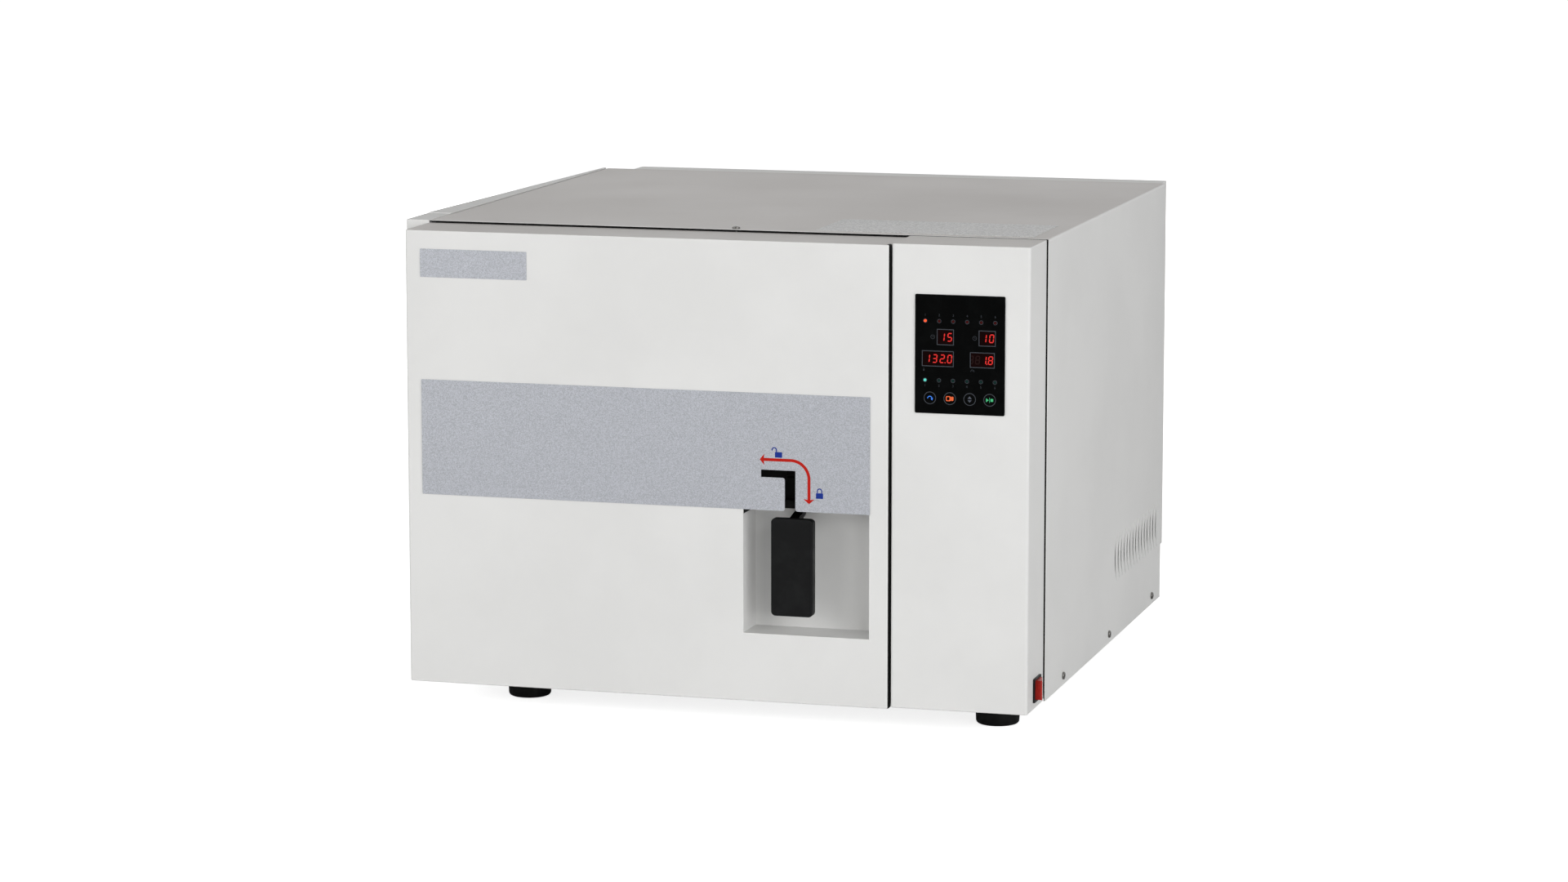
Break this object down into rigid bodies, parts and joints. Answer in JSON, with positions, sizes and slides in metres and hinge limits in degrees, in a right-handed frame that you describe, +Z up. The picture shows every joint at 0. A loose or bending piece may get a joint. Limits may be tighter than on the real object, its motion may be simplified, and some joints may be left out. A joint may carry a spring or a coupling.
{
  "type": "steam autoclave",
  "caption": "Bench-top steam autoclave with a boxed side-hinged door, recessed latch handle, control fascia, mains rocker and a tray-loaded pressure chamber.",
  "frame": {"origin": "middle of the footprint, on the surface that the feet stand on", "axes": "+X to the right seen from the front, +Y from the door towards the back, +Z up"},
  "size_m": [0.7322, 0.8032, 0.5352],
  "materials": {
    "cabinet_paint": "satin off-white powder coat",
    "inner_paint": "satin off-white powder coat",
    "zinc_steel": "zinc plated",
    "bright_screws": "nickel plated",
    "silver_band": "fine metallic speckle",
    "foot_rubber": "matt black",
    "gasket_silicone": "matt",
    "stainless_steel": "brushed stainless",
    "heater_foil": "dull",
    "lagging_felt": "felt",
    "pipe_brass": "dull",
    "tank_plastic": "natural",
    "black_plastic": "fine texture",
    "black_steel": "satin black",
    "power_steel": "satin grey",
    "fin_aluminium": "mill finish",
    "overlay_gloss": "gloss black",
    "display_lens": "dark red lens",
    "red_lamp": "red lens",
    "green_lamp": "green lens",
    "board_green": "solder mask",
    "button_black": "gloss black",
    "rocker_red": "gloss red",
    "grip_black": "satin black"
  },
  "bodies": {
    "cabinet": {"main_cover": "cabinet_paint", "base_pan": "zinc_steel", "feet": "foot_rubber", "foot_screws": "bright_screws", "front_frame": "inner_paint", "lock_keeper": "zinc_steel", "hinge_post_cover": "cabinet_paint", "hinge_brackets": "zinc_steel", "left_side_box": "cabinet_paint", "rear_panel": "inner_paint", "rear_box": "cabinet_paint", "case_screws": "bright_screws", "fan_frame": "black_plastic", "fan_guard": "black_steel", "condenser": "fin_aluminium", "power_inlet": "black_plastic", "drain_spigot": "pipe_brass", "chamber_vessel": "stainless_steel", "chamber_flange": "stainless_steel", "heater_band": "heater_foil", "lagging_jacket": "lagging_felt", "support_brackets": "zinc_steel", "safety_valve": "pipe_brass", "drain_pipe": "pipe_brass", "tray_rack": "stainless_steel", "trays": "stainless_steel", "water_tank": "tank_plastic", "water_pump": "black_plastic", "valve_block": "pipe_brass", "power_supply": "power_steel", "control_fascia": "cabinet_paint", "control_overlay": "overlay_gloss", "display_modules": "display_lens", "phase_lamps": "red_lamp", "program_lamps": "green_lamp", "control_board": "board_green", "board_bracket": "zinc_steel", "switch_bezel": "black_plastic", "cover_label": "silver_band"},
    "door": {"door_shell": "cabinet_paint", "door_band": "silver_band", "door_name_plate": "silver_band", "handle_recess": "cabinet_paint", "door_liner": "inner_paint", "door_carrier": "inner_paint", "pressure_lid": "stainless_steel", "lid_gasket": "gasket_silicone", "hinge_leaves": "zinc_steel", "hinge_pins": "bright_screws", "lock_bar_guides": "zinc_steel"},
    "latch": {"latch_carriage": "black_steel", "lock_bar": "bright_screws"},
    "handle": {"handle_arm": "black_steel", "handle_grip": "grip_black"},
    "rocker": {"switch_rocker": "rocker_red"},
    "fan": {"fan_rotor": "black_plastic"},
    "button_program": {"button_program": "button_black"},
    "button_dry": {"button_dry": "button_black"},
    "button_adjust": {"button_adjust": "button_black"},
    "button_run_stop": {"button_run_stop": "button_black"}
  },
  "joints": [
    {"name": "door_swing", "type": "hinge", "parent": "cabinet", "child": "door", "pos_m": [-0.35306, -0.33327, 0.282], "axis": [0, 0, -1], "range_deg": [0, 100]},
    {"name": "lock_shift", "type": "slide", "parent": "door", "child": "latch", "axis": [-1, 0, 0], "range_m": [0, 0.026]},
    {"name": "handle_swing", "type": "hinge", "parent": "latch", "child": "handle", "pos_m": [0.09629, -0.35677, 0.28045], "axis": [-1, 0, 0], "range_deg": [0, 90]},
    {"name": "switch_rock", "type": "hinge", "parent": "cabinet", "child": "rocker", "pos_m": [0.35594, -0.35627, 0.0535], "axis": [0, 0, -1], "range_deg": [0, 26]},
    {"name": "fan_spin", "type": "hinge", "parent": "cabinet", "child": "fan", "pos_m": [-0.14906, 0.36923, 0.33], "axis": [0, 1, 0], "continuous": true},
    {"name": "press_program", "type": "slide", "parent": "cabinet", "child": "button_program", "axis": [0, 1, 0], "range_m": [0, 0.0008], "stiffness_N_per_m": 800},
    {"name": "press_dry", "type": "slide", "parent": "cabinet", "child": "button_dry", "axis": [0, 1, 0], "range_m": [0, 0.0008], "stiffness_N_per_m": 800},
    {"name": "press_adjust", "type": "slide", "parent": "cabinet", "child": "button_adjust", "axis": [0, 1, 0], "range_m": [0, 0.0008], "stiffness_N_per_m": 800},
    {"name": "press_run_stop", "type": "slide", "parent": "cabinet", "child": "button_run_stop", "axis": [0, 1, 0], "range_m": [0, 0.0008], "stiffness_N_per_m": 800}
  ]
}
